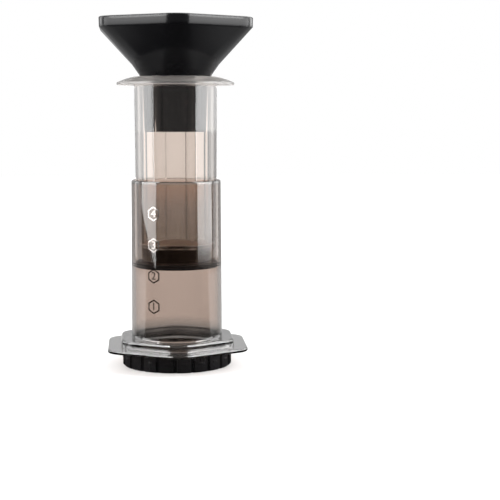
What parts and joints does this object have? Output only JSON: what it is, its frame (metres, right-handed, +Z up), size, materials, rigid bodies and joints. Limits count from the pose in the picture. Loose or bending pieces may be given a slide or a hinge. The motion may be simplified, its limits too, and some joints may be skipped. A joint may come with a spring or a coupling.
{
  "type": "portable coffee press",
  "caption": "Portable coffee press: clear chamber on a hexagonal stand, hexagonal plunger with rubber seal, twist-off filter cap and filling funnel.",
  "frame": {"origin": "on the common axis of chamber, plunger and funnel, at the underside of the filter cap, where the press stands on a table", "axes": "+Z up along the axis, towards the funnel; -Y is the side that faces the viewer in the picture, with a corner of the stand's hexagon; +X to that viewer's right"},
  "size_m": [0.11, 0.122, 0.2547],
  "materials": {
    "chamber_plastic": "clear smoked copolyester, polished mould",
    "plunger_plastic": "clear, lightly smoked copolyester, polished mould",
    "black_plastic": "black polypropylene, satin mould",
    "seal_rubber": "black moulded elastomer, matte",
    "filter_paper": "bleached filter paper"
  },
  "bodies": {
    "chamber": {"chamber": "chamber_plastic"},
    "cap": {"filter_cap": "black_plastic", "paper_filter": "filter_paper"},
    "seal": {"plunger_seal": "seal_rubber"},
    "plunger": {"plunger_tube": "plunger_plastic"},
    "funnel": {"funnel": "black_plastic"}
  },
  "joints": [
    {"name": "plunger_slide", "type": "slide", "parent": "chamber", "child": "seal", "axis": [0, 0, 1], "range_m": [-0.069, 0.068]},
    {"name": "plunger_turn", "type": "hinge", "parent": "seal", "child": "plunger", "pos_m": [0, 0, 0.084], "axis": [0, 0, 1], "continuous": true},
    {"name": "funnel_lift", "type": "slide", "parent": "plunger", "child": "funnel", "axis": [0, 0, 1], "range_m": [0, 0.045]},
    {"name": "cap_twist", "type": "hinge", "parent": "chamber", "child": "cap", "pos_m": [0, 0, 0.008], "axis": [0, 0, -1], "range_deg": [0, 30]}
  ]
}
